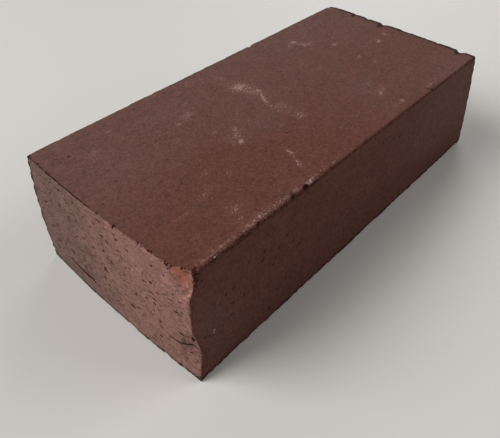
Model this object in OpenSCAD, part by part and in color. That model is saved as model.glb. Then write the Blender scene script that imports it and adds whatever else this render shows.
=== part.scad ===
// Solid clay brick: a column pressed through a die and cut to length by a wire.
// X runs along the length, Y across the width and Z up from the middle of the lower bed.

/* [Brick] */
// Length between the mean planes of the two cut ends
brick_length = 230; // [200:1:260]
// Width between the two long faces that the die smoothed
brick_width = 113; // [90:1:130]
// Height between the two beds that the die smoothed
brick_height = 65; // [50:1:90]

/* [Arrises] */
// Radius of the two long arrises of the upper bed
upper_arris_radius = 1.2; // [0.6:0.1:4]
// Radius of the two long arrises of the lower bed
lower_arris_radius = 2.2; // [0.6:0.1:6]

/* [Cut ends] */
// How far the near end bulges between the two long faces
near_width_crown = 1.8; // [0.4:0.1:4]
// How far the near end bulges between the two beds
near_height_crown = 1.3; // [0.4:0.1:3]
// How far the far end bulges between the two long faces
far_width_crown = 0.5; // [0.4:0.1:4]
// How far the far end bulges between the two beds
far_height_crown = 1.8; // [0.4:0.1:3]
// How far both wires leaned from the foot of the column to its top
wire_lean = 1.3; // [0:0.1:4]

/* [Spalled corner] */
// Depth of the flake lost from the upper corner of the near end
spall_depth = 3.6; // [1:0.1:6]
// Radius of the hollow that the flake left
spall_radius = 30; // [12:1:45]

/* [Torn edge] */
// Depth of the hollow that the wire tore in the upright edge of the near end
tear_depth = 3.1; // [1:0.1:5]
// Radius of that hollow
tear_radius = 42; // [20:1:60]

/* [Notched edge] */
// Depth of the deepest notch in the upper edge of the far end
notch_depth = 2.2; // [1:0.1:4]
// Radius of that notch
notch_radius = 4; // [3:0.1:8]

/* [Nicked arrises] */
// Depth of the deepest nick in the long upper arrises
nick_depth = 1.7; // [1:0.1:3]
// Radius of that nick
nick_radius = 2.2; // [2:0.1:5]

/* [Hidden] */
$fn = 96;
// Steps round the barrel of a wire cut, whose arcs are far wider than the brick
barrel_steps = 720;

// The two ends, by the side of the middle that they lie on
near = -1;
far = 1;

half_length = brick_length / 2;
half_width = brick_width / 2;
half_height = brick_height / 2;

// How far every cutting shape runs past the clay
overrun = 20;

wire_angle = atan(wire_lean / brick_height);

// The way each hollow opens, as shares of the three axes
spall_way_shares = [-1, -0.15, 0.15];
tear_way_shares = [-1, -0.3, 0];
notch_way_shares = [1, 0, 0.7];
nick_way_shares = [0, 1, 0.8];

// Where each hollow sits along its edge, as shares of the half height, half width or half length
tear_place_share = -0.46;
notch_place_shares = [-0.83, 0.19, 0.43];
nick_place_shares = [-0.4, 0.28, -0.18];

// Size of each notch and nick as a share of the deepest one
notch_size_shares = [1, 0.8, 0.55];
nick_size_shares = [1, 0.9, 0.6];

// The long arris that each nick is in, by the side of the middle that it lies on
nick_sides = [-1, 1, 1];

// Radius of the arc that rises by a crown over a half chord
function crown_radius(half_chord, crown) = (half_chord * half_chord + crown * crown) / (2 * crown);

// Crowns of an end, with the one across the width in x and the one up the height in y
function crowns(end) =
    end == near ? [near_width_crown, near_height_crown] : [far_width_crown, far_height_crown];

// An end's middle stands this far out past its mean plane, and its corners drop back as far
function bulge(end) = (crowns(end).x + crowns(end).y) / 2;

// Place on a cut face, at shares of the half width and half height
function on_cut(end, width_share, height_share) =
    let (
        drop = crowns(end).x * width_share ^ 2 + crowns(end).y * height_share ^ 2,
        shift = wire_lean / 2 * height_share
    )
    [
        end * (half_length + bulge(end) - drop) + shift,
        half_width * width_share,
        half_height * (1 + height_share)
    ];

// What lies outside an arris of the section, with the corner of the section at the origin
module arris_waste(radius) {
    difference() {
        square(radius);
        translate([radius, radius])
            circle(radius);
    }
}

// Mouth of the die: the brick's section, with Y across and Z up
module die_section() {
    difference() {
        translate([-half_width, 0])
            square([brick_width, brick_height]);
        for (side = [0, 1])
            mirror([side, 0]) {
                translate([-half_width, 0])
                    arris_waste(lower_arris_radius);
                translate([-half_width, brick_height])
                    mirror([0, 1])
                        arris_waste(upper_arris_radius);
            }
    }
}

// The pressed column, longer than the brick
module column() {
    column_length = brick_length + 2 * overrun;
    translate([-column_length / 2, 0, 0])
        rotate([90, 0, 90])
            linear_extrude(height = column_length)
                die_section();
}

// What a wire leaves of the column at one end: a barrel face, bulged in plan and in height
module wire_cut(end) {
    plan_radius = crown_radius(half_width, crowns(end).x);
    rise_radius = crown_radius(half_height, crowns(end).y);
    barrel_height = brick_height + 2 * overrun;
    translate([end * (half_length + bulge(end) - plan_radius), 0, 0])
        rotate_extrude($fn = barrel_steps)
            intersection() {
                translate([0, -barrel_height / 2])
                    square([plan_radius + overrun, barrel_height]);
                translate([plan_radius - rise_radius, 0])
                    circle(rise_radius, $fn = barrel_steps);
            }
}

// Both ends, cut by wires that leaned the same way
module cut_length() {
    translate([0, 0, half_height])
        rotate([0, wire_angle, 0])
            intersection() {
                wire_cut(near);
                wire_cut(far);
            }
}

// Hollow of one sphere, which reaches its depth below a place on an edge and opens along a way
module hollow(place, way, depth, radius) {
    translate(place + way / norm(way) * (radius - depth))
        sphere(radius);
}

// The upper corner that lost a flake
module spalled_corner() {
    hollow(on_cut(near, -1, 1), spall_way_shares, spall_depth, spall_radius);
}

// The upright edge below it, torn where the wire left the clay
module torn_edge() {
    hollow(on_cut(near, -1, tear_place_share), tear_way_shares, tear_depth, tear_radius);
}

// The upper edge of the far end, with its notches
module notched_edge() {
    for (i = [0 : len(notch_place_shares) - 1]) {
        place = on_cut(far, notch_place_shares[i], 1);
        size_share = notch_size_shares[i];
        hollow(place, notch_way_shares, notch_depth * size_share, notch_radius * size_share);
    }
}

// The long upper arrises, with their nicks
module nicked_arrises() {
    for (i = [0 : len(nick_place_shares) - 1]) {
        place = [half_length * nick_place_shares[i], nick_sides[i] * half_width, brick_height];
        way = [nick_way_shares.x, nick_sides[i] * nick_way_shares.y, nick_way_shares.z];
        size_share = nick_size_shares[i];
        hollow(place, way, nick_depth * size_share, nick_radius * size_share);
    }
}

// The whole brick, fired as one piece
module brick() {
    color([0.38, 0.26, 0.23])
        difference() {
            intersection() {
                column();
                cut_length();
            }
            spalled_corner();
            torn_edge();
            notched_edge();
            nicked_arrises();
        }
}

brick();
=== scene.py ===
"""A solid clay brick, pressed, wire-cut and fired, lying on a pale floor."""

import bpy
import numpy as np
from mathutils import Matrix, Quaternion, Vector


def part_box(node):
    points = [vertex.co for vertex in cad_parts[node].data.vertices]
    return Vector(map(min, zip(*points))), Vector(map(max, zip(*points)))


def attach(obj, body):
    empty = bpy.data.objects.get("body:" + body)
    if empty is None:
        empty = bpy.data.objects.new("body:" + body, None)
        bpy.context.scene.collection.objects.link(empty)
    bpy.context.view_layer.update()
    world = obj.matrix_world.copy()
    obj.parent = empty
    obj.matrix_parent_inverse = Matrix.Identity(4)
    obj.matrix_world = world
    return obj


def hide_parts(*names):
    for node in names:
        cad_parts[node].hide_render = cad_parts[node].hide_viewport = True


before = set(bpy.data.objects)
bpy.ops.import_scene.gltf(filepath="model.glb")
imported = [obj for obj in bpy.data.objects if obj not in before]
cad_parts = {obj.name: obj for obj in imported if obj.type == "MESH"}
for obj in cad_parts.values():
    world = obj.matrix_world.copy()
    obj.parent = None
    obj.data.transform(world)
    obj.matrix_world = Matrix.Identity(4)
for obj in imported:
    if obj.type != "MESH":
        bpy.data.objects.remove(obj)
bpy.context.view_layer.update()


# The brick
# One solid block of fired red-brown clay, with no core and no layers. A die pressed it as a long
# column with four smooth faces, wires cut it off and tore the clay of both ends, and it was fired.
# It lies loose on its lower bed. Chips, pits and scuffs are where handling and the wires left them.

MILLIMETRE = 0.001

lowest, highest = (np.array(corner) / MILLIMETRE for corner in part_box("brick"))
length, width, height = highest - lowest
half_width = width / 2
half_height = height / 2

# Spacing of the surface's points along an axis: fine at the edges and chips, then growing with the
# distance from them. It is summed along a ruler with this many marks.
fine_spacing = 0.38
length_spacing = 1.66
width_spacing = 0.82
height_spacing = 0.5
spacing_growth = 0.25
ruler_marks = 8001

# The back and the lower bed, by axis and end, are plain: inside a border of this many quads, each is
# one flat face
plain_faces = ((1, -1), (2, 0))
plain_border = 8

# Each wire cut bulges by a crown across the width and one up the height, past a crest that the
# wire's lean moved off the middle, by a share of the half height
near_cut = {"reach": lowest[0], "width_crown": 1.8, "height_crown": 1.3, "crest_share": -0.25}
far_cut = {"reach": highest[0], "width_crown": -0.5, "height_crown": -1.8, "crest_share": 0.18}

upper_arris_radius = 1.2
lower_arris_radius = 2.2
cut_edge_radius = 0.7

# The edges crumbled, so their radii vary by clouds with a strength, a size and a seed, down to the
# least share. The long arrises took only a share of that.
crumble_clouds = ((0.5, 6.0, 11), (0.9, 2.2, 12))
least_crumble = 0.25
arris_crumble_share = 0.5

# Cells along each way of the random lattice of a cloud, after which it repeats
cloud_cells = 64


def graded_places(extent, fine_places, coarse):
    """Places from 0 to the extent. Their spacing is fine_spacing at each fine place, and grows with
    the distance from it up to coarse: the running sum of 1 / spacing is cut into equal steps."""
    ruler = np.linspace(0, extent, ruler_marks)
    from_fine = np.abs(ruler[:, None] - np.array(fine_places)).min(axis=1)
    spacing = np.minimum(fine_spacing + spacing_growth * from_fine, coarse)
    steps = np.concatenate([[0], np.cumsum(np.diff(ruler) / spacing[1:])])
    return np.interp(np.linspace(0, steps[-1], int(steps[-1]) + 1), steps, ruler)


def block_skin(counts):
    """The six faces of a lattice of points as grids that share their edges. Returns the three lattice
    numbers of each point on the skin, the quads as point numbers, turned to face outwards, and for
    each plain face the ring of points round its flat part, turned the same way."""
    lattice = np.indices(counts)
    last = np.array(counts).reshape(3, 1, 1, 1) - 1
    on_skin = ((lattice == 0) | (lattice == last)).any(axis=0)
    inner = np.minimum(lattice, last - lattice) > plain_border
    for axis, end in plain_faces:
        on_face = lattice[axis] == (last[axis] if end else 0)
        on_skin &= ~(on_face & np.delete(inner, axis, axis=0).all(axis=0))
    number = np.full(counts, -1)
    number[on_skin] = np.arange(on_skin.sum())
    quads = []
    rings = []
    for axis in range(3):
        for end in (0, -1):
            face = number.take(end, axis=axis)
            corners = (face[:-1, :-1], face[1:, :-1], face[1:, 1:], face[:-1, 1:])
            quad = np.stack(corners, axis=-1).reshape(-1, 4)
            quad = quad[(quad >= 0).all(axis=1)]
            turn = 1 if (end == -1) != (axis == 1) else -1
            quads.append(quad[:, ::turn])
            if (axis, end) in plain_faces:
                flat = face[plain_border:-plain_border, plain_border:-plain_border]
                sides = (flat[:-1, 0], flat[-1, :-1], flat[:0:-1, -1], flat[0, :0:-1])
                rings.append(np.concatenate(sides)[::turn])
    return np.argwhere(on_skin), np.concatenate(quads), rings


def cloud(points, size, seed):
    """Smooth random field from -1 to 1. Random values stand on a lattice of the given size, and a
    point takes a mean of the eight around it, weighted by the smooth step 3 t^2 - 2 t^3."""
    values = np.random.default_rng(seed).uniform(-1, 1, (cloud_cells, cloud_cells, cloud_cells))
    place = points / size
    cell = np.floor(place).astype(int)
    share = place - cell
    share = share**2 * (3 - 2 * share)
    total = np.zeros(len(points))
    for corner in np.ndindex(2, 2, 2):
        weight = np.where(corner, share, 1 - share).prod(axis=1)
        total += weight * values[tuple(((cell + corner) % cloud_cells).T)]
    return total


def clouds(points, layers):
    """Sum of clouds, each by its strength, its size and the seed of its random values."""
    return sum(strength * cloud(points, size, seed) for strength, size, seed in layers)


def smooth_step(value, low, high):
    """0 below low, 1 above high and 3 t^2 - 2 t^3 between them."""
    share = np.clip((value - low) / (high - low), 0, 1)
    return share**2 * (3 - 2 * share)


def fading(distance, full, gone):
    """1 up to the distance full, 0 past the distance gone and a smooth step down between them."""
    return 1 - smooth_step(distance, full, gone)


def bell(points, middle, size):
    """1 at the middle, falling off as exp(-d^2) with the distance d counted in the three sizes."""
    return np.exp(-(((points - np.array(middle)) / size)**2).sum(axis=1))


def rounded(first, second, radius):
    """Two depths below faces that meet at an edge, bent so that the edge becomes a quarter circle:
    what each lacks of the radius is scaled by the larger of the two over their root of squares."""
    first_lack = np.maximum(radius - first, 0)
    second_lack = np.maximum(radius - second, 0)
    root = np.hypot(first_lack, second_lack)
    scale = np.divide(np.maximum(first_lack, second_lack), root, out=np.ones_like(root), where=root > 0)
    return first + first_lack * (1 - scale), second + second_lack * (1 - scale)


def cut_face(cut, y, z):
    """Place along the length of a wire cut: its reach, moved by one crown times the square of the
    share of the half width and by the other times the square of the height share past the crest."""
    width_share = y / half_width
    height_share = 2 * z / height - 1
    rise = height_share - cut["crest_share"]
    return cut["reach"] + cut["width_crown"] * width_share**2 + cut["height_crown"] * rise**2


def outward(points, quads):
    """Unit normals of the points: the sum, over the quads at each, of the diagonals' cross product."""
    first_diagonal = points[quads[:, 2]] - points[quads[:, 0]]
    second_diagonal = points[quads[:, 3]] - points[quads[:, 1]]
    total = np.zeros_like(points)
    for corner in range(4):
        np.add.at(total, quads[:, corner], np.cross(first_diagonal, second_diagonal))
    return total / np.linalg.norm(total, axis=1, keepdims=True)


# The block as the die and the wires left it, with crumbled arrises. The nicks in its long upper
# arrises are given by their place along the length, their side and their size share.
nicks = np.array([
    (-45.3, -1, 1.0),
    (-53.8, -1, 0.8),
    (-62.0, -1, 0.5),
    (-75.2, -1, 0.8),
    (-84.4, -1, 0.6),
    (63.0, -1, 0.8),
    (32.2, 1, 0.9),
    (-20.7, 1, 0.6),
])
x_places = graded_places(length, (0, length, *(nicks[:, 0] - lowest[0])), length_spacing)
y_places = graded_places(width, (0, width), width_spacing)
z_places = graded_places(height, (0, height), height_spacing)
lattice_number, brick_quads, brick_rings = block_skin((len(x_places), len(y_places), len(z_places)))
along, across, up = (
    places[lattice_number[:, axis]] for axis, places in enumerate((x_places, y_places, z_places))
)
sharp_block = np.stack([along, across, up], axis=1)
near_half = along < length / 2
right_half = across < half_width
upper_half = up > half_height

depths = list(np.minimum(sharp_block, (length, width, height) - sharp_block).T)
crumble = np.maximum(1 + clouds(sharp_block, crumble_clouds), least_crumble)
whole_arris_radius = np.where(upper_half, upper_arris_radius, lower_arris_radius)
arris_radius = whole_arris_radius * (1 + arris_crumble_share * (crumble - 1))

# The wire smeared a lip over the near rim, and the far corner on the left is worn round. Both are
# bells by their middle and reach, in which the radius of the cut edges grows.
lip_zone = ((0, 28, height), (12, 18, 12))
lip_growth = 1.5
worn_zone = ((length, width, height), (9, 9, 40))
worn_growth = 1.5
worn_upright_growth = 3
smeared_lip = bell(sharp_block, *lip_zone)
worn_corner = bell(sharp_block, *worn_zone)
edge_radius = crumble * cut_edge_radius * (1 + lip_growth * smeared_lip + worn_growth * worn_corner)
upright_radius = edge_radius * (1 + worn_upright_growth * worn_corner)
depths[1], depths[2] = rounded(depths[1], depths[2], arris_radius)
depths[0], depths[1] = rounded(depths[0], depths[1], upright_radius)
depths[0], depths[2] = rounded(depths[0], depths[2], edge_radius)

# The wire of the far cut rolled the rim of the upper bed down, further and further in up to each
# notch: places across the width, and how far in the roll reaches there
roll_places = (-47.0, -46.6, -30.6, -30.2, -8.0, -3.0, 6.7, 10.4, 10.8, 21.6, 22.8, 23.2, 38.4)
roll_reaches = (1.3, 8.5, 1.6, 1.3, 2.6, 5.0, 2.4, 1.3, 9.0, 2.0, 1.4, 4.5, 1.3)
roll_clouds = ((0.3, (60.0, 3.0, 60.0), 13),)
roll_depth = 0.5
roll_power = 1.3
y = np.where(right_half, depths[1] - half_width, half_width - depths[1])
roll_width = np.interp(y, roll_places, roll_reaches) * (1 + clouds(sharp_block, roll_clouds))
from_far_cut = np.where(near_half, length, depths[0])
rolled = np.clip(1 - from_far_cut / roll_width, 0, 1) * (up == height)
z = np.where(upper_half, height - depths[2], depths[2]) - roll_depth * rolled**roll_power
length_share = np.where(near_half, depths[0], length - depths[0]) / length
x = cut_face(near_cut, y, z) * (1 - length_share) + cut_face(far_cut, y, z) * length_share
brick_points = np.stack([x, y, z], axis=1)

# Relief of the clay, as clouds: the die left long faint waves, and the wires tore streaks across both
# ends. A face counts as cut by the share of its normal along the length, from the first value on and
# fully from the second.
die_waves = ((0.10, 48.0, 21), (0.05, (40.0, 4.0, 4.0), 22))
torn_streaks = ((0.12, (4.0, 8.0, 2.6), 31), (0.12, (2.2, 3.4, 1.5), 32))
cut_turn = (0.45, 0.8)
normals = outward(brick_points, brick_quads)
on_cut = smooth_step(np.abs(normals[:, 0]), *cut_turn)
relief = clouds(brick_points, die_waves) * (1 - on_cut) + clouds(brick_points, torn_streaks) * on_cut
brick_points += normals * relief[:, None]

# Pits that grains left where the wires dragged them out: place across and up, half length, half
# height and depth. The near end has the large ones listed, and both ends have small ones by chance.
near_pits = np.array([
    (-17.2, 21.0, 2.3, 0.65, 0.27),
    (-22.2, 23.5, 1.6, 0.50, 0.22),
    (-55.0, 27.7, 0.9, 1.73, 0.25),
    (-2.0, 61.8, 1.9, 0.43, 0.14),
    (-12.6, 60.4, 1.0, 0.50, 0.19),
    (28.6, 60.6, 0.8, 0.72, 0.20),
    (17.0, 60.2, 0.9, 0.50, 0.15),
    (-21.0, 57.2, 0.8, 0.43, 0.14),
    (-3.0, 53.8, 1.5, 0.43, 0.16),
    (-47.2, 50.4, 0.7, 0.65, 0.22),
    (-51.0, 48.8, 1.2, 0.36, 0.15),
    (-34.2, 48.4, 1.0, 0.58, 0.19),
    (-30.0, 46.2, 2.0, 0.36, 0.15),
    (-18.0, 45.2, 0.8, 0.50, 0.15),
    (46.4, 43.6, 1.0, 0.58, 0.16),
    (13.0, 42.2, 1.2, 0.58, 0.17),
    (5.4, 41.9, 1.2, 0.58, 0.17),
    (-2.4, 44.8, 0.8, 0.58, 0.16),
    (-4.6, 42.0, 0.8, 0.58, 0.22),
    (-7.6, 41.4, 1.0, 0.43, 0.17),
    (-33.4, 41.6, 1.2, 0.58, 0.16),
    (-47.6, 40.9, 1.1, 0.65, 0.23),
    (-50.6, 41.2, 1.0, 0.43, 0.14),
    (-35.0, 36.0, 0.8, 0.65, 0.14),
    (-1.0, 32.7, 0.8, 1.15, 0.15),
    (44.2, 29.8, 1.1, 0.65, 0.22),
    (0.8, 26.2, 1.1, 0.65, 0.16),
    (-36.2, 25.8, 0.6, 0.79, 0.16),
    (28.2, 22.4, 1.2, 0.65, 0.17),
    (13.6, 22.4, 1.1, 0.50, 0.16),
    (40.6, 22.2, 1.5, 0.72, 0.22),
    (18.8, 19.9, 1.2, 0.58, 0.20),
    (-2.4, 17.4, 0.9, 0.65, 0.15),
    (-34.6, 14.4, 1.0, 0.72, 0.14),
    (-28.0, 6.4, 1.4, 0.65, 0.17),
    (45.6, 14.0, 1.5, 0.72, 0.12),
    (-8.6, 14.2, 0.8, 0.50, 0.12),
    (32.6, 14.2, 1.9, 0.60, 0.30),
    (28.2, 13.6, 4.2, 0.80, 0.30),
    (22.6, 13.3, 5.1, 1.00, 0.30),
    (17.4, 13.2, 4.4, 1.25, 0.30),
    (-43.0, 20.2, 2.0, 0.60, 0.24),
    (-46.4, 20.6, 2.6, 0.50, 0.21),
    (-50.0, 21.1, 2.6, 0.50, 0.21),
    (-52.8, 21.6, 1.4, 0.60, 0.24),
])
small_pit_count = 45
small_pit_margin = 2
small_pit_least = (0.7, 0.4, 0.05)
small_pit_spread = (1.2, 0.2, 0.15)
small_pit_power = (2, 2, 1)


def small_pits(seed):
    """Pits by chance: places even over the end inside its margin. Half length, half height and depth
    are the least plus the spread times a chance, with a power that leans the sizes to the small."""
    chance = np.random.default_rng(seed).random((small_pit_count, 5))
    pit_y = (2 * chance[:, 0] - 1) * (half_width - small_pit_margin)
    pit_z = small_pit_margin + chance[:, 1] * (height - 2 * small_pit_margin)
    sizes = small_pit_least + small_pit_spread * chance[:, 2:]**small_pit_power
    return np.column_stack([pit_y, pit_z, sizes])


def pitting(first, second, pits, ragged):
    """How far each point lies inside the pits, 1 at a pit's middle and 0 at its outline, and how deep.
    It is one less the distance from the middle, counted in the pit's half sizes along the first and
    second way and made ragged. The depth grows with it to the pit's own depth halfway in."""
    from_first = (first[:, None] - pits[:, 0]) / pits[:, 2]
    from_second = (second[:, None] - pits[:, 1]) / pits[:, 3]
    inside = 1 - np.hypot(from_first, from_second) + ragged[:, None]
    return inside.max(axis=1), (np.clip(2 * inside, 0, 1) * pits[:, 4]).max(axis=1)


# Dark grooves in the upper bed at the far rim beside the notches, painted shadow of the notches'
# walls, in the same way by their place along and across
notch_shadow_grooves = np.array([
    (111.6, 11.0, 4.2, 2.6, 0.3),
    (111.6, -46.2, 4.2, 2.6, 0.3),
    (112.8, 23.2, 2.6, 1.7, 0.3),
    (111.4, 34.2, 3.0, 1.2, 0.3),
    (113.6, -29.2, 2.4, 1.4, 0.3),
])

# Pits of both ends: how far a point without one lies inside, the cloud that makes outlines ragged, and
# the scale of the far end's larger ones
deepest_pit = 0.3
no_pit = -1.0
pit_outline = ((0.2, 1.1, 43),)
far_pit_scale = (1, 1, 1.3, 1.1, 1)
near_end_pits = np.concatenate([near_pits, small_pits(seed=42)])
far_end_pits = np.concatenate([small_pits(seed=46), small_pits(seed=48) * far_pit_scale])
pit_inside = np.full(len(brick_points), no_pit)
pit_depth = np.zeros(len(brick_points))
for chosen, first, second, pits in (
    ((on_cut > 0) & near_half, y, z, near_end_pits),
    ((on_cut > 0) & ~near_half, y, z, far_end_pits),
    ((on_cut == 0) & ~near_half & (up == height), x, y, notch_shadow_grooves),
):
    ragged = clouds(brick_points[chosen], pit_outline)
    pit_inside[chosen], pit_depth[chosen] = pitting(first[chosen], second[chosen], pits, ragged)
brick_points -= normals * pit_depth[:, None]


# Damage: each hollow is what a ball took out, by the place on the edge, the way it opens, its depth
# and the ball's radius, which a coarse and a fine cloud make ragged
def on_edge(cut, width_share, height_share):
    """Place on the sharp rim or face of a wire cut, at shares of the half width and half height."""
    place_y = width_share * half_width
    place_z = half_height * (1 + height_share)
    return np.array([cut_face(cut, place_y, place_z), place_y, place_z])


def hollow_out(place, way, depth, radius, ragged, seed):
    """Points inside a ball with a ragged radius are pushed straight back, against the way that the
    hollow opens, to the far side of the ball. Returns how far each point was pushed."""
    way = np.array(way) / np.linalg.norm(way)
    from_middle = brick_points - (place + way * (radius - depth))
    near_by = np.flatnonzero((from_middle**2).sum(axis=1) < (radius + ragged)**2)
    from_middle = from_middle[near_by]
    ball_clouds = ((0.6 * ragged, 4.2, seed), (0.4 * ragged, 1.6, seed + 1))
    ball = radius + clouds(brick_points[near_by], ball_clouds)
    forward = from_middle @ way
    inside = ball**2 - (from_middle**2).sum(axis=1)
    push = np.zeros(len(brick_points))
    push[near_by] = np.where(inside > 0, forward + np.sqrt(np.maximum(forward**2 + inside, 0)), 0)
    brick_points[:] -= push[:, None] * way
    return push


# The upright edge of the near end that the wire tore, and the upper corner that lost a flake. Where
# that goes deeper than the least, no pit is left.
tear_place_share = -0.46
tear_way = (-1, -0.3, 0)
tear_depth = 3.1
tear_radius = 42
tear_ragged = 0.7
spall_way = (-1, -0.15, 0.15)
spall_depth = 3.6
spall_radius = 30
spall_ragged = 0.9
least_spall = 0.3
torn_edge = on_edge(near_cut, -1, tear_place_share)
hollow_out(torn_edge, tear_way, tear_depth, tear_radius, tear_ragged, seed=53)
lost_corner = on_edge(near_cut, -1, 1)
spall = hollow_out(lost_corner, spall_way, spall_depth, spall_radius, spall_ragged, seed=51)
pit_inside[spall > least_spall] = no_pit

# The nicks, and notches in the far upper edge by their share of the half width and their size share
notches = ((-0.83, 1), (0.19, 0.8), (0.43, 0.55), (0.6, 0.4), (-0.52, 0.4))
notch_way = (1, 0, 0.7)
notch_depth = 2.2
notch_radius = 4
notch_ragged = 0.3
nick_rise = 0.8
nick_depth = 1.7
nick_radius = 2.2
nick_ragged = 0.2
chipped = np.zeros(len(brick_points))
for width_share, size in notches:
    notch = on_edge(far_cut, width_share, 1)
    push = hollow_out(notch, notch_way, notch_depth * size, notch_radius * size, notch_ragged, seed=55)
    chipped = np.maximum(chipped, push)
for nick_x, side, size in nicks:
    nick = np.array([nick_x, side * half_width, height])
    nick_way = (0, side, nick_rise)
    push = hollow_out(nick, nick_way, nick_depth * size, nick_radius * size, nick_ragged, seed=57)
    chipped = np.maximum(chipped, push)

# Crumbs lost from the near rim, by their place across and their size share, each in a pocket of
# painted shade
rim_crumbs = (
    (46.4, 0.8), (36.0, 0.5), (9.0, 0.5), (-1.5, 0.8), (-6.0, 0.5), (-12.6, 1.0), (-17.0, 0.6),
    (-22.0, 0.6), (-27.2, 0.9), (-31.5, 0.6), (-35.1, 1.1), (-39.0, 0.7), (-41.5, 0.6), (-43.8, 1.0),
    (-46.4, 0.9), (-52.6, 1.0),
)
crumb_way = (-0.7, 0, 1)
crumb_depth = 1.2
crumb_radius = 1.5
crumb_ragged = 0.3
pocket_radius = 1.7
crumb_pocket_shade = np.zeros(len(brick_points))
for crumb_y, size in rim_crumbs:
    crumb = on_edge(near_cut, crumb_y / half_width, 1)
    hollow_out(crumb, crumb_way, crumb_depth * size, crumb_radius * size, crumb_ragged, seed=59)
    crumb_pocket_shade = np.maximum(crumb_pocket_shade, bell(brick_points, crumb, pocket_radius * size))

# Crevices round the spalled corner, by their place, the way they open and their radius
crevices = (
    ((-113.2, -44.2, 64.6), (-0.7, 0, 1), 0.9),
    ((-112.6, -46.0, 63.2), (-1, 0, 0.6), 0.7),
    ((-110.6, -52.2, 64.4), (-0.6, -0.3, 1), 0.8),
    ((-108.0, -54.6, 64.6), (0, -0.5, 1), 0.8),
    ((-109.2, -56.4, 63.0), (-0.3, -1, 0.2), 1.3),
    ((-109.5, -56.4, 60.9), (-0.3, -1, 0), 1.3),
    ((-110.6, -56.2, 58.4), (-0.7, -1, 0), 0.7),
)
crevice_depth_share = 0.8
for place, way, radius in crevices:
    hollow_out(np.array(place), way, crevice_depth_share * radius, radius, crumb_ragged, seed=61)

# Crumbs lost by chance along the foot of the near end, along its upright left edge and the far rim:
# how many, where on the brick, the way they open, their depth as a share of their radius and a seed
chance_crumbs = (
    (34, lambda share: on_edge(near_cut, share, -1), (-1, 0, -0.6), 0.70, 65),
    (26, lambda share: on_edge(near_cut, 1, share), (-0.3, 1, 0), 0.75, 67),
    (16, lambda share: on_edge(far_cut, share, 1), (1, 0, 0.6), 0.50, 69),
)
least_crumb = 0.8
crumb_spread = 1.5
crumb_chance = np.random.default_rng(63)
for count, place_at, way, depth_share, seed in chance_crumbs:
    for place_chance, size_chance in crumb_chance.random((count, 2)):
        crumb = place_at(2 * place_chance - 1)
        radius = least_crumb + crumb_spread * size_chance**2
        hollow_out(crumb, way, depth_share * radius, radius, crumb_ragged, seed)

# Pale scuffs on the upper bed: place, half length, half width, angle in degrees and strength
scuffs = np.array([
    (-6.0, 25.6, 5.2, 4.8, 0, 0.90),
    (-2.0, 15.2, 2.6, 1.4, 100, 1.00),
    (-5.6, 7.4, 6.6, 1.1, 63, 1.00),
    (-8.8, -0.6, 3.0, 1.2, 80, 0.55),
    (-5.2, -5.0, 4.6, 4.2, 0, 0.45),
    (-5.0, -11.5, 3.0, 6.0, 0, 0.35),
    (-4.8, -18.0, 2.8, 3.0, 0, 0.65),
    (-6.8, 41.6, 5.0, 1.0, 100, 0.55),
    (-5.0, 20.0, 12.0, 5.0, 98, 0.55),
    (-18.2, -16.5, 3.0, 2.4, 0, 0.30),
    (-11.2, -26.5, 3.6, 1.8, 30, 0.30),
    (-40.7, -11.0, 2.2, 1.6, 40, 1.00),
    (-41.5, -6.5, 5.0, 4.4, 0, 0.35),
    (-37.7, -5.5, 4.8, 1.4, 60, 0.60),
    (-35.7, -1.5, 1.4, 1.3, 0, 0.90),
    (-44.2, 4.5, 1.4, 1.3, 0, 0.70),
    (-44.2, -9.5, 1.7, 1.2, 0, 0.60),
    (-42.7, 25.5, 3.4, 2.2, 20, 0.60),
    (-50.7, 22.5, 1.9, 1.7, 0, 0.50),
    (-60.5, 12.5, 2.4, 1.7, 0, 0.35),
    (-92.5, 33.5, 3.1, 1.9, 40, 0.40),
    (-56.2, 39.0, 1.9, 1.4, 0, 0.45),
    (-77.5, 43.5, 1.9, 1.4, 0, 0.35),
    (53.8, 38.5, 2.2, 1.9, 0, 0.95),
    (48.8, 36.5, 4.2, 1.4, 30, 0.60),
    (56.3, 31.5, 5.4, 1.9, -55, 0.60),
    (60.3, 30.5, 1.9, 1.2, 0, 0.70),
    (68.8, 17.5, 2.0, 1.8, 0, 0.90),
    (81.8, 44.0, 2.9, 1.7, 20, 0.40),
    (90.8, -0.5, 2.3, 1.6, 20, 0.90),
    (101.8, 3.0, 2.9, 1.9, 60, 0.50),
    (65.8, -4.0, 1.8, 1.4, 0, 0.60),
    (67.8, -14.0, 2.2, 1.4, 60, 0.55),
    (38.8, 5.5, 3.1, 1.4, 45, 0.35),
    (44.8, -25.5, 2.2, 1.3, 40, 0.45),
    (40.3, -37.0, 2.9, 1.4, 30, 0.75),
    (44.8, -35.5, 4.8, 1.7, 20, 0.35),
    (41.8, -50.0, 1.8, 1.4, 0, 0.90),
    (35.8, -49.5, 1.9, 1.2, 0, 0.40),
    (-31.7, -34.5, 3.8, 1.1, 80, 0.85),
    (-35.2, -42.5, 3.4, 1.1, 70, 0.85),
    (-75.5, -42.5, 3.6, 2.9, 0, 0.45),
    (-77.5, -48.5, 2.9, 1.9, 0, 0.40),
    (-73.5, -53.5, 8.4, 2.2, 0, 0.50),
    (-59.2, -54.5, 9.6, 1.7, 0, 0.45),
    (-39.2, -55.0, 3.6, 1.4, 0, 0.45),
    (-92.5, -53.5, 9.6, 1.8, 0, 0.30),
    (-68.5, -16.5, 1.8, 1.3, 0, 0.50),
    (-61.0, -24.0, 2.4, 1.2, 50, 0.45),
    (-76.5, -25.5, 6.0, 1.9, 15, 0.35),
    (-92.5, -29.5, 4.8, 0.8, 3, 0.45),
    (65.4, -52.8, 2.4, 1.5, 0, 0.60),
    (-42.2, -55.4, 3.0, 1.4, 0, 0.90),
])


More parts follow.
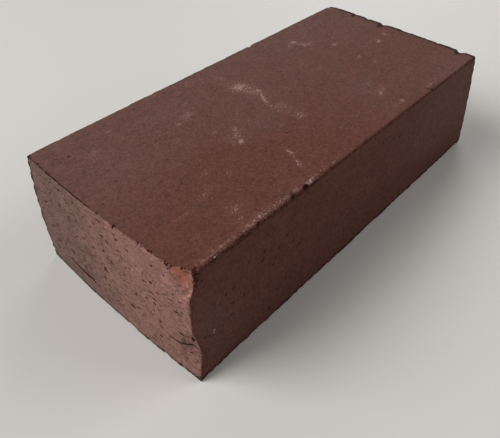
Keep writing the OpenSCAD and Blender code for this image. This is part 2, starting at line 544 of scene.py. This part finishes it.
def scuffing(points):
    """Strength of the scuffs at each point of the upper bed: the strongest of the bells exp(-d^2),
    with d counted in half lengths along the scuff's own way and half widths across it."""
    turn = np.radians(scuffs[:, 4])
    from_x = points[:, 0, None] - scuffs[:, 0]
    from_y = points[:, 1, None] - scuffs[:, 1]
    scuff_along = (from_x * np.cos(turn) + from_y * np.sin(turn)) / scuffs[:, 2]
    scuff_across = (from_y * np.cos(turn) - from_x * np.sin(turn)) / scuffs[:, 3]
    return (np.exp(-scuff_along**2 - scuff_across**2) * scuffs[:, 5]).max(axis=1)


# Marks that the material reads at each point. Warm and cool zones of the pressed faces are bells by
# their middle and reach, and so are the smear, the flush, the fresh clay, the painted shade of the
# pockets round it and the painted shadow in the corners of the far notches.
warm_zones = (((-52, -32, height), (38, 28, 30)), ((-75, -half_width, 58), (45, 20, 14)),
              ((50, -half_width, 4), (80, 20, 14)))
cool_zones = (((-46, 41, height), (18, 14, 20)), ((-23, -5, height), (14, 12, 20)),
              ((37, -30, height), (12, 10, 20)), ((-100, 30, height), (24, 30, 20)),
              ((-106, -half_width, 34), (14, 20, 20)), ((90, -half_width, 44), (60, 20, 40)),
              ((105, -half_width, 40), (45, 20, 40)))
smear_zone = ((lowest[0], -28, 58), (20, 17, 6))
flush_zones = (((lowest[0], -37.8, 46), (20, 2.0, 4.6)), ((lowest[0], -9, 62.5), (20, 6, 2.4)),
               ((lowest[0], -36, 64), (20, 8, 1.4)), ((lowest[0], -53, 53), (20, 5, 8)),
               ((lowest[0], -44, 58), (20, 3.6, 5)))
fresh_zone = ((-112, -49.8, 61.0), (9, 5.0, 5.4))
shaded_pocket_zones = (((-109.4, -half_width, 61.5), (1.6, 2, 4.4)), ((-107.9, -54.7, 64.9), (1.6, 1.4, 1)),
                ((-111.0, -52.0, 64.2), (2.0, 2.0, 1.6)))
notch_shadow_zones = (((113.0, 23.2, 64), (2.6, 2.0, 4)), ((112.4, 11.0, 64), (3.2, 2.2, 4)),
                ((112.4, -46.2, 64), (3.2, 2.2, 4)), ((113.8, -29.4, 64), (2.0, 1.6, 4)))


def bells(zones):
    """Sum of the bells of some zones at the brick's points."""
    return sum(bell(brick_points, *zone) for zone in zones)


# Warmth grows towards the right face and in the warm zones, and falls in the cool ones
side_warmth = 0.35
zone_warmth = 0.4
warmth = -side_warmth * y / half_width
warmth += zone_warmth * bells(warm_zones)
warmth -= zone_warmth * bells(cool_zones)

# The faces by how far their normals turn to them, and the distances from edges and faces. The near
# cut's edges, dark with painted shade, are on the left alone.
top_turn = (0.3, 0.7)
side_turn = (0.4, 0.8)
on_top = smooth_step(normals[:, 2], *top_turn)
on_right = smooth_step(-normals[:, 1], *side_turn)
from_edge = np.sort(depths, axis=0)[1]
from_right = y + half_width
from_side = half_width - np.where(near_half, y, np.abs(y))

# Painted shade in a band under the right upper arris and in frayed flecks on the upper bed beside it,
# painted shade along the foot of the right face and the edges of the cuts, and the frost. Each is full
# up to its first distance and gone past its second. The shaded band gets narrower along the length,
# and the frayed flecks and the frost thin out along it.
near_arris_shade_reach = 4.2
far_arris_shade_reach = 2.6
arris_shade_full = 1.2
arris_shade_narrows = (-60, -10)
frayed_reach = (0.8, 3.0)
frayed_thins = (-40, 0)
frost_reach = (1.2, 6)
frost_thins = (-50, 0)
frost_loss = 0.6
foot_reach = (2.4, 5.2)
edge_reach = (1.0, 2.6)
edge_height = (2.0, 4.6)
arris_shade_reach = near_arris_shade_reach + (far_arris_shade_reach - near_arris_shade_reach) * smooth_step(x, *arris_shade_narrows)
arris_shade = on_right * fading(height - z, arris_shade_full, arris_shade_reach)
frayed = on_top * fading(from_right, *frayed_reach) * fading(x, *frayed_thins)
frost = on_top * fading(from_right, *frost_reach) * (1 - frost_loss * smooth_step(x, *frost_thins))
foot = on_right * fading(z, *foot_reach)
cut_edges = fading(depths[0], *edge_reach) * fading(np.minimum(z, from_side), *edge_height)

# Painted shade along the rims of the upper bed: a thin line at the near one, which starts at the middle
# and runs to the left, and a wider band at the far one
near_rim_width = 0.3
far_rim_width = 1.8
near_rim_start = (-6, 12)
rim_width = np.where(near_half, near_rim_width, far_rim_width)
rim_length = np.where(near_half, smooth_step(y, *near_rim_start), 1)
shaded_rim = on_top * rim_length * fading(depths[0], rim_width, 2 * rim_width)

# Depths at which a chip darkens with painted shade and the spall shows fresh clay, the dust that
# faces other than the upper bed lack, the reach of worn edges, and how far from the middle the near
# end turns pale
least_chip = 0.3
chip_contrast = 3
spall_depths = (0.05, 1.6)
dust_lack = 0.25
worn_reach = (0.3, 2.4)
pale_reach = 46
marks = {
    "cut": on_cut,
    "pit": np.clip(np.maximum(pit_inside, chip_contrast * (chipped - least_chip)), -1, 1),
    "hollow": np.clip(np.maximum(pit_depth / deepest_pit, chipped), 0, 1),
    "broken": smooth_step(spall, *spall_depths),
    "fresh": bell(brick_points, *fresh_zone),
    "shaded_pocket": crumb_pocket_shade + bells(shaded_pocket_zones),
    "scuff": scuffing(brick_points) * on_top - dust_lack * (1 - on_top),
    "worn": fading(from_edge, *worn_reach),
    "shaded_rim": shaded_rim + bells(notch_shadow_zones),
    "arris_shade": np.maximum(arris_shade, frayed),
    "frost": frost,
    "edge": np.maximum(foot, cut_edges),
    "rolled": rolled,
    "warmth": warmth,
    "pale": smooth_step(-y, -pale_reach, pale_reach),
    "smear": bell(brick_points, *smear_zone),
    "flush": bells(flush_zones),
}

# It stands on the floor, so nothing of the lower bed lies deeper
brick_points[:, 2] = np.maximum(brick_points[:, 2], 0)

brick_mesh = bpy.data.meshes.new("fired_brick")
brick_faces = brick_quads.tolist() + [ring.tolist() for ring in brick_rings]
brick_mesh.from_pydata(brick_points * MILLIMETRE, [], brick_faces)
brick_mesh.shade_smooth()
for mark, values in marks.items():
    brick_mesh.attributes.new(mark, "FLOAT", "POINT").data.foreach_set("value", values)
brick = bpy.data.objects.new("fired_brick", brick_mesh)
bpy.context.scene.collection.objects.link(brick)


# Pin holes of the pressed faces, dark with painted shade, and pale flecks, too fine for the mesh, by
# their middles
pin_hole_radius = 1.0
pin_holes = (
    (-75.0, -half_width, 42.5),
    (-73.9, -half_width, 43.2),
    (-73.1, -half_width, 46.9),
    (-66.7, -half_width, 38.0),
    (-64.3, -half_width, 42.1),
    (-68.1, -half_width, 34.6),
    (-59.0, -half_width, 45.7),
    (-51.9, -half_width, 33.3),
    (-50.6, -half_width, 34.0),
    (-54.9, -half_width, 38.8),
    (-60.3, -half_width, 18.8),
    (-92.1, -half_width, 40.5),
    (-96.3, -half_width, 40.6),
    (-93.0, -half_width, 32.4),
    (-86.3, -half_width, 31.0),
    (-93.9, -half_width, 25.6),
    (-72.0, -half_width, 8.1),
    (-66.6, -half_width, 16.3),
    (-109.1, -half_width, 25.9),
    (77.1, -half_width, 3.2),
    (78.2, -half_width, 6.4),
    (103.6, -half_width, 7.7),
    (31.7, -half_width, 49.7),
    (61.4, -54.4, height),
    (66.9, -54.8, height),
    (104.8, -56.0, height),
    (-53.0, -54.3, height),
    (-100.7, 40.5, height),
)
pale_fleck_radius = 0.6
pale_flecks = (
    (-104.4, -half_width, 24.2),
    (-103.9, -half_width, 25.6),
    (-99.0, -55.9, height),
    (-41.2, -54.8, height),
)


def fired_clay():
    """Matte unglazed clay. Clouds of purple and red brown with fine grain on the pressed faces, paler
    torn clay on the cuts, fresh red where it is broken and pale dust in the scuffs. Painted shade
    darkens the pits, holes, chips, dashes and pockets, the rims and edges, and a band under the right
    arris."""
    purple_brown = (0.124, 0.058, 0.050, 1)
    red_brown = (0.110, 0.041, 0.030, 1)
    torn_purple = (0.172, 0.097, 0.083, 1)
    torn_pink = (0.262, 0.137, 0.110, 1)
    flush_pink = (0.370, 0.167, 0.150, 1)
    fresh_pink = (0.352, 0.172, 0.141, 1)
    fresh_red = (0.326, 0.109, 0.070, 1)
    # Painted shade in the pockets round the spall and the lost crumbs
    pocket_shade_red = (0.048, 0.008, 0.005, 1)
    # Painted shade in the pits, chips, holes and dashes, darker where they are deep
    pit_shade_brown = (0.062, 0.021, 0.015, 1)
    deep_pit_shade = (0.020, 0.007, 0.005, 1)
    # Painted shade under the right upper arris
    arris_shade_brown = (0.052, 0.016, 0.009, 1)
    frost_pink = (0.210, 0.102, 0.084, 1)
    # Painted shade on the rolled far rim, and along the rims, far notches, cut edges and foot
    rolled_rim_shade = (0.070, 0.052, 0.046, 1)
    shade_black = (0.018, 0.010, 0.008, 1)
    pale_dust = (0.40, 0.265, 0.23, 1)
    roughness = 0.85
    specular = 0.12

    # How much the cuts lose of the clumps, how strongly dust, dashes and pin holes cover the clay, and
    # the share of the cells with a hole
    cut_clump_loss = 0.7
    scuff_veil = 0.13
    scuff_dust = 0.30
    dust_cover = 0.7
    dash_cover = 0.9
    hole_cover = 0.6
    hole_cell = 1.2
    hole_share = 0.02
    worn_hole_share = 0.12

    # Relief too fine for the mesh, as shares of the bump's height
    bump_height = 0.5 * MILLIMETRE
    bump_strength = 0.8
    pressed_relief = 0.15
    torn_relief = 0.45
    dust_relief = 0.15
    dent_relief = -0.6

    # Numbers of the Mix node's sockets that carry colours
    mix_first = 6
    mix_second = 7
    mix_result = 2

    material = bpy.data.materials.new("fired_clay")
    material.use_nodes = True
    nodes = material.node_tree.nodes
    links = material.node_tree.links
    shader = nodes["Principled BSDF"]
    place = nodes.new("ShaderNodeTexCoord").outputs["Object"]

    def put(value, socket):
        """Links a value that is a socket itself, and sets a plain one."""
        if isinstance(value, bpy.types.NodeSocket):
            links.new(value, socket)
        else:
            socket.default_value = value

    def mark(name):
        """One of the marks that the mesh carries."""
        node = nodes.new("ShaderNodeAttribute")
        node.attribute_name = name
        return node.outputs["Fac"]

    def counted(sizes):
        """Place counted in cells of the given sizes in millimetres."""
        node = nodes.new("ShaderNodeMapping")
        node.vector_type = "TEXTURE"
        node.inputs["Scale"].default_value = np.broadcast_to(sizes, 3) * MILLIMETRE
        links.new(place, node.inputs["Vector"])
        return node.outputs["Vector"]

    def grain(sizes, detail=2.0):
        """Noise with grains of those sizes, about 0.5 in the mean."""
        node = nodes.new("ShaderNodeTexNoise")
        links.new(counted(sizes), node.inputs["Vector"])
        node.inputs["Scale"].default_value = 1
        node.inputs["Detail"].default_value = detail
        return node.outputs["Fac"]

    def combine(kind, *values):
        """Values put together one after another by a kind of arithmetic."""
        total = values[0]
        for value in values[1:]:
            node = nodes.new("ShaderNodeMath")
            node.operation = kind
            put(total, node.inputs[0])
            put(value, node.inputs[1])
            total = node.outputs["Value"]
        return total

    def sum_of(*values):
        """All of the values added."""
        return combine("ADD", *values)

    def product(*values):
        """All of the values multiplied."""
        return combine("MULTIPLY", *values)

    def larger(*values):
        """The largest of the values."""
        return combine("MAXIMUM", *values)

    def without(share):
        """What a share leaves of the whole."""
        return combine("SUBTRACT", 1.0, share)

    def swing(field, reach):
        """A field about its mean of 0.5, times its reach."""
        return product(sum_of(field, -0.5), reach)

    def step(value, low, high, top=1.0):
        """Smooth step from 0 at low to top at high, which falls where low is the larger."""
        node = nodes.new("ShaderNodeMapRange")
        node.interpolation_type = "SMOOTHSTEP"
        put(value, node.inputs["Value"])
        node.inputs["From Min"].default_value = low
        node.inputs["From Max"].default_value = high
        node.inputs["To Max"].default_value = top
        return node.outputs["Result"]

    def blend(share, first, second, kind="MIX"):
        """The first colour with a share of the second, mixed in or by another kind of blending."""
        node = nodes.new("ShaderNodeMix")
        node.data_type = "RGBA"
        node.blend_type = kind
        put(share, node.inputs["Factor"])
        put(first, node.inputs[mix_first])
        put(second, node.inputs[mix_second])
        return node.outputs[mix_result]

    def ragged(name, noise, low, high, top=1.0):
        """Smooth step of a mark times one more than the noise, so that its outline is ragged."""
        return step(product(mark(name), sum_of(noise, 1.0)), low, high, top)

    def specks(sizes, share, outline):
        """Grains with sharp outlines, one in each cell of those sizes that is drawn by its random
        number. The share is the part of the cells drawn, and radius and depth vary by chance."""
        least_radius = 0.2
        radius_spread = 0.35
        least_depth = 0.5
        node = nodes.new("ShaderNodeTexVoronoi")
        links.new(counted(sizes), node.inputs["Vector"])
        node.inputs["Scale"].default_value = 1
        chance = nodes.new("ShaderNodeSeparateColor")
        links.new(node.outputs["Color"], chance.inputs["Color"])
        drawn = step(sum_of(chance.outputs["Red"], share), low=0.99, high=1.01)
        radius = sum_of(product(chance.outputs["Green"], radius_spread), least_radius)
        distance = sum_of(combine("DIVIDE", node.outputs["Distance"], radius), swing(outline, 1.6))
        depth = sum_of(product(chance.outputs["Blue"], 1 - least_depth), least_depth)
        return product(drawn, depth, step(distance, low=1.15, high=0.75))

    def spots(middles, radius):
        """How far a place lies inside the nearest of some balls: 1 at its middle and 0 at its radius."""
        nearest = length * MILLIMETRE
        for middle in middles:
            node = nodes.new("ShaderNodeVectorMath")
            node.operation = "DISTANCE"
            links.new(place, node.inputs[0])
            node.inputs[1].default_value = np.array(middle) * MILLIMETRE
            nearest = combine("MINIMUM", node.outputs["Value"], nearest)
        return without(product(nearest, 1 / (radius * MILLIMETRE)))

    cut = mark("cut")
    scuff = mark("scuff")
    torn_only = product(cut, without(larger(mark("smear"), mark("broken"))))

    broad = grain(30)
    patch = grain(9)
    clump = grain(4.2, detail=3.0)
    mottle = grain(1.7, detail=3.0)
    flake = grain((1.0, 0.9, 3.2))
    fine = grain(0.9)
    grit = grain((0.7, 1.0, 0.7), detail=4.0)
    streak = grain((1.1, 2.6, 0.9), detail=3.0)
    dash = grain((0.9, 2.2, 0.65))

    # Clouds of colour on the pressed faces and the torn ends, with the tone of their grain
    warm = step(sum_of(mark("warmth"), swing(broad, 0.5), swing(patch, 0.7)), low=-0.5, high=0.5)
    pressed = blend(warm, purple_brown, red_brown)
    paler = step(sum_of(mark("pale"), swing(patch, 0.8)), low=0.0, high=1.0)
    torn_clay = blend(paler, torn_purple, torn_pink)
    blotch = sum_of(swing(mottle, 2.4), swing(clump, 2.0))
    torn_clay = blend(ragged("flush", blotch, low=0.3, high=1.1, top=0.7), torn_clay, flush_pink)
    colour = blend(cut, pressed, torn_clay)
    clumps = product(swing(clump, 0.45), without(product(cut, cut_clump_loss)))
    tone = sum_of(swing(patch, 0.25), clumps, 1.0)
    tone = sum_of(tone, swing(mottle, 0.9), swing(fine, 0.8))
    tone = sum_of(tone, product(swing(streak, 0.45), torn_only))
    colour = blend(1.0, colour, tone, "MULTIPLY")

    # Fresh clay in the spall, painted shade on the rolled far rim, along the rims and in the far
    # notches, the pale frost by the right upper arris, and painted shade under that arris, in the
    # pockets and along the foot and the cut edges
    broken = step(sum_of(mark("broken"), swing(mottle, 1.0)), low=0.3, high=0.7, top=0.8)
    redder = step(sum_of(mark("fresh"), swing(flake, 2.0)), low=0.15, high=0.75)
    fresh_clay = blend(redder, fresh_pink, fresh_red)
    fresh_tone = sum_of(swing(flake, 1.1), swing(mottle, 1.8), 1.0)
    fresh_clay = blend(1.0, fresh_clay, fresh_tone, "MULTIPLY")
    colour = blend(broken, colour, fresh_clay)
    colour = blend(ragged("rolled", blotch, low=0.05, high=0.6, top=0.8), colour, rolled_rim_shade)
    colour = blend(ragged("shaded_rim", blotch, low=0.2, high=0.55, top=0.9), colour, shade_black)
    frosted = sum_of(swing(mottle, 5.0), swing(grit, 3.0), swing(clump, 2.0))
    colour = blend(ragged("frost", frosted, low=0.85, high=1.4, top=0.75), colour, frost_pink)
    shred = sum_of(swing(mottle, 5.0), swing(clump, 2.0), swing(fine, 3.0))
    colour = blend(ragged("arris_shade", shred, low=0.8, high=1.1, top=0.9), colour, arris_shade_brown)
    colour = blend(ragged("shaded_pocket", shred, low=0.5, high=0.8), colour, pocket_shade_red)
    colour = blend(ragged("edge", shred, low=0.68, high=1.0, top=0.85), colour, shade_black)

    # Pale dust in the scuffs, and pin holes all over, dark with painted shade
    colour = blend(product(scuff, scuff_veil), colour, pale_dust)
    dust = step(sum_of(grit, product(scuff, scuff_dust)), low=0.665, high=0.76)
    flecks = sum_of(spots(pale_flecks, pale_fleck_radius), swing(fine, 1.0))
    dust = larger(dust, step(flecks, low=0.0, high=0.3))
    colour = blend(product(dust, dust_cover), colour, pale_dust)
    drawn_share = sum_of(product(mark("worn"), worn_hole_share), hole_share)
    holes = specks(hole_cell, drawn_share, outline=fine)
    single_holes = sum_of(spots(pin_holes, pin_hole_radius), swing(fine, 1.2))
    holes = larger(holes, step(single_holes, low=0.05, high=0.3))
    colour = blend(product(holes, hole_cover), colour, deep_pit_shade)

    # Dashes that the wires tore, and the pits and chips that lie in the mesh, dark with painted shade
    # that deepens with their depth
    torn_dashes = step(sum_of(dash, swing(patch, 0.2)), low=0.396, high=0.345)
    torn_dashes = product(torn_dashes, torn_only)
    colour = blend(product(torn_dashes, dash_cover), colour, pit_shade_brown)
    pitted = step(sum_of(mark("pit"), swing(streak, 0.9)), low=-0.1, high=0.05)
    pit_shade_colour = blend(mark("hollow"), pit_shade_brown, deep_pit_shade)
    colour = blend(pitted, colour, pit_shade_colour)
    links.new(colour, shader.inputs["Base Color"])
    shader.inputs["Roughness"].default_value = roughness
    shader.inputs["Specular IOR Level"].default_value = specular

    relief = product(sum_of(fine, streak), sum_of(product(torn_only, torn_relief), pressed_relief))
    dents = larger(torn_dashes, holes, pitted)
    relief = sum_of(relief, product(dust, dust_relief), product(dents, dent_relief))
    bump = nodes.new("ShaderNodeBump")
    bump.inputs["Strength"].default_value = bump_strength
    bump.inputs["Distance"].default_value = bump_height
    links.new(relief, bump.inputs["Height"])
    links.new(bump.outputs["Normal"], shader.inputs["Normal"])
    return material


brick_mesh.materials.append(fired_clay())
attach(brick, "root")
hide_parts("brick")


# The floor
# A plain pale sheet under the brick, wide enough to fill the picture. It isn't part of the brick,
# which only lies on it.
floor_reach = 4.0
floor_colour = (0.641, 0.622, 0.591, 1)
floor_roughness = 0.6
floor_specular = 0.4

floor_mesh = bpy.data.meshes.new("floor")
floor_corners = [(-floor_reach, -floor_reach, 0), (floor_reach, -floor_reach, 0),
                 (floor_reach, floor_reach, 0), (-floor_reach, floor_reach, 0)]
floor_mesh.from_pydata(floor_corners, [], [(0, 1, 2, 3)])
floor_material = bpy.data.materials.new("pale_floor")
floor_material.use_nodes = True
floor_shader = floor_material.node_tree.nodes["Principled BSDF"]
floor_shader.inputs["Base Color"].default_value = floor_colour
floor_shader.inputs["Roughness"].default_value = floor_roughness
floor_shader.inputs["Specular IOR Level"].default_value = floor_specular
floor_mesh.materials.append(floor_material)
floor = bpy.data.objects.new("floor", floor_mesh)
bpy.context.scene.collection.objects.link(floor)


# The light
# A wide soft lamp on the left of the picture, a weaker one on its right, a low one behind the brick,
# and a faint even fill from all round.
lamp_distance = 2.6
fill_colour = (1, 1, 1, 1)
fill_strength = 0.03


def soft_lamp(name, azimuth, elevation, size, power):
    """A square lamp of that size, turned to face the brick. Azimuth runs from the length's far end
    towards the back, and elevation up from the floor, both in degrees."""
    turn, rise = np.radians((azimuth, elevation))
    way = Vector((np.cos(turn) * np.cos(rise), np.sin(turn) * np.cos(rise), np.sin(rise)))
    data = bpy.data.lights.new(name, "AREA")
    data.size = size
    data.energy = power
    lamp = bpy.data.objects.new(name, data)
    lamp.location = way * lamp_distance
    lamp.rotation_euler = (-way).to_track_quat("-Z", "Y").to_euler()
    bpy.context.scene.collection.objects.link(lamp)


soft_lamp("left_lamp", azimuth=144, elevation=45, size=1.8, power=70.0)
soft_lamp("right_lamp", azimuth=318, elevation=36, size=1.8, power=28.0)
soft_lamp("back_lamp", azimuth=30, elevation=18, size=1.5, power=22.0)

world = bpy.data.worlds.new("even_fill")
world.use_nodes = True
background = world.node_tree.nodes["Background"]
background.inputs["Color"].default_value = fill_colour
background.inputs["Strength"].default_value = fill_strength
bpy.context.scene.world = world
bpy.context.scene.view_settings.view_transform = "Standard"


# The camera
# It looks down on the near end, the upper bed and the right long face, as in the photograph.
camera_place = Vector((-0.1971, -0.1828, 0.2363))
camera_target = Vector((0.0071, -0.0209, 0.0506))
camera_roll = np.radians(1.44)
picture_width = 500
focal_pixels = 594.0
middle_pixel = (319.1, 130.1)
picture_middle = (250, 219)
nearest_sight = 0.01

camera_data = bpy.data.cameras.new("camera")
camera_data.lens = camera_data.sensor_width * focal_pixels / picture_width
camera_data.shift_x = (picture_middle[0] - middle_pixel[0]) / picture_width
camera_data.shift_y = (middle_pixel[1] - picture_middle[1]) / picture_width
camera_data.clip_start = nearest_sight
camera = bpy.data.objects.new("camera", camera_data)
camera.location = camera_place
camera_turn = (camera_target - camera_place).to_track_quat("-Z", "Y")
camera.rotation_euler = (camera_turn @ Quaternion((0, 0, 1), camera_roll)).to_euler()
bpy.context.scene.collection.objects.link(camera)
bpy.context.scene.camera = camera
